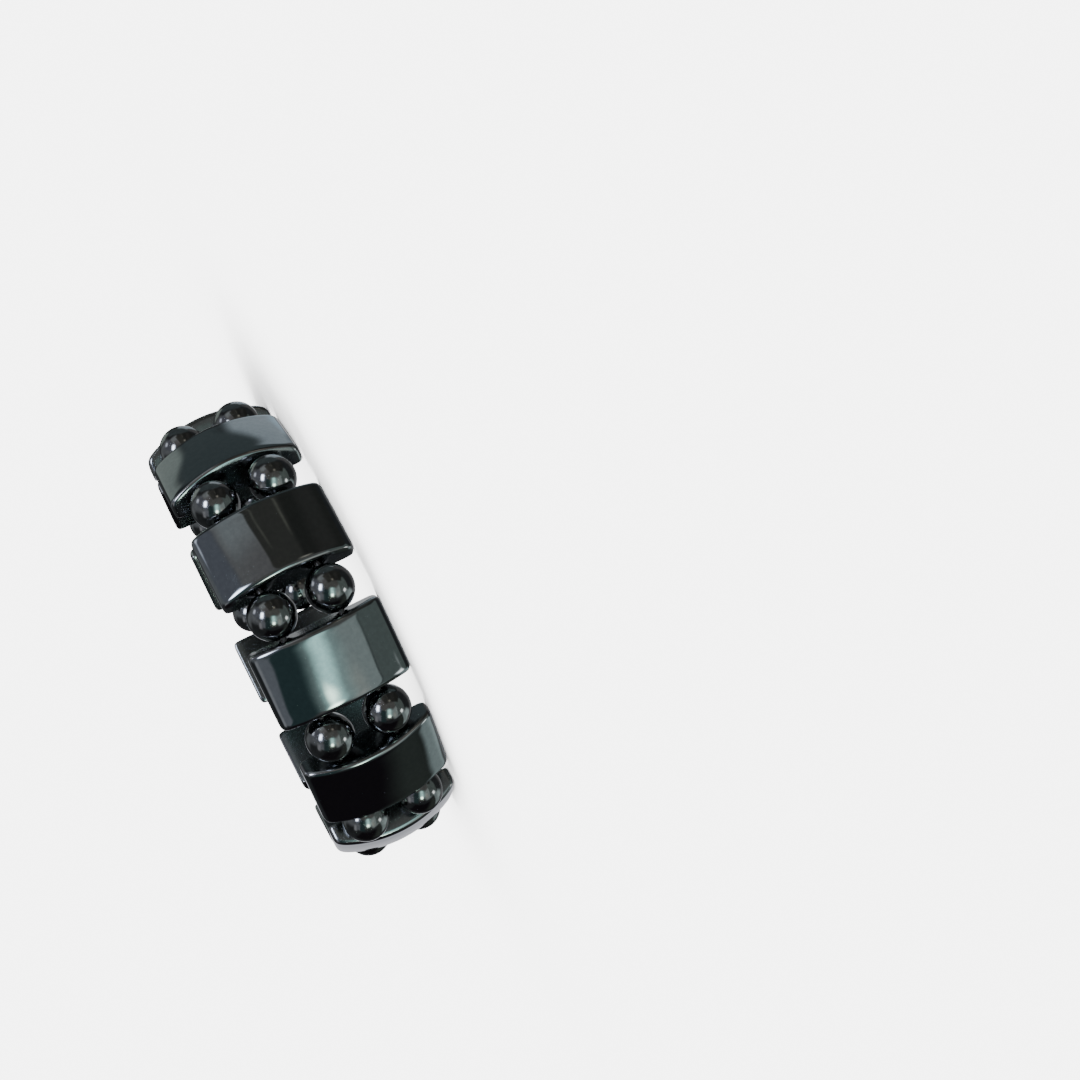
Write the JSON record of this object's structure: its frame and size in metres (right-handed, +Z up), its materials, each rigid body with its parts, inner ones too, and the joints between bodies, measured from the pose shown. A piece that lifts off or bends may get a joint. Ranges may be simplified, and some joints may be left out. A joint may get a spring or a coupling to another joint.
{
  "type": "magnetic bracelet",
  "caption": "Stretch bracelet of crowned dark stone tiles and pairs of round beads on two elastic cords, a full ring lying on its side.",
  "frame": {"origin": "below the middle of the ring, on the plane that the tiles' ends rest on", "axes": "+Z up along the wrist's axis; -Y through the middle of tile 1; the tiles are numbered anticlockwise seen from above"},
  "size_m": [0.063, 0.0626, 0.017],
  "materials": {
    "tile_stone": "mirror polished dark hematite",
    "bead_stone": "mirror polished dark hematite",
    "elastic": "smooth dark elastic cord"
  },
  "bodies": {
    "root": {"tile_01": "tile_stone", "tile_02": "tile_stone", "tile_03": "tile_stone", "tile_04": "tile_stone", "tile_05": "tile_stone", "tile_06": "tile_stone", "tile_07": "tile_stone", "tile_08": "tile_stone", "tile_09": "tile_stone", "tile_10": "tile_stone", "tile_11": "tile_stone", "bead_lower_01": "bead_stone", "bead_lower_02": "bead_stone", "bead_lower_03": "bead_stone", "bead_lower_04": "bead_stone", "bead_lower_05": "bead_stone", "bead_lower_06": "bead_stone", "bead_lower_07": "bead_stone", "bead_lower_08": "bead_stone", "bead_lower_09": "bead_stone", "bead_lower_10": "bead_stone", "bead_lower_11": "bead_stone", "bead_upper_01": "bead_stone", "bead_upper_02": "bead_stone", "bead_upper_03": "bead_stone", "bead_upper_04": "bead_stone", "bead_upper_05": "bead_stone", "bead_upper_06": "bead_stone", "bead_upper_07": "bead_stone", "bead_upper_08": "bead_stone", "bead_upper_09": "bead_stone", "bead_upper_10": "bead_stone", "bead_upper_11": "bead_stone", "cord_lower": "elastic", "cord_upper": "elastic"}
  },
  "joints": []
}
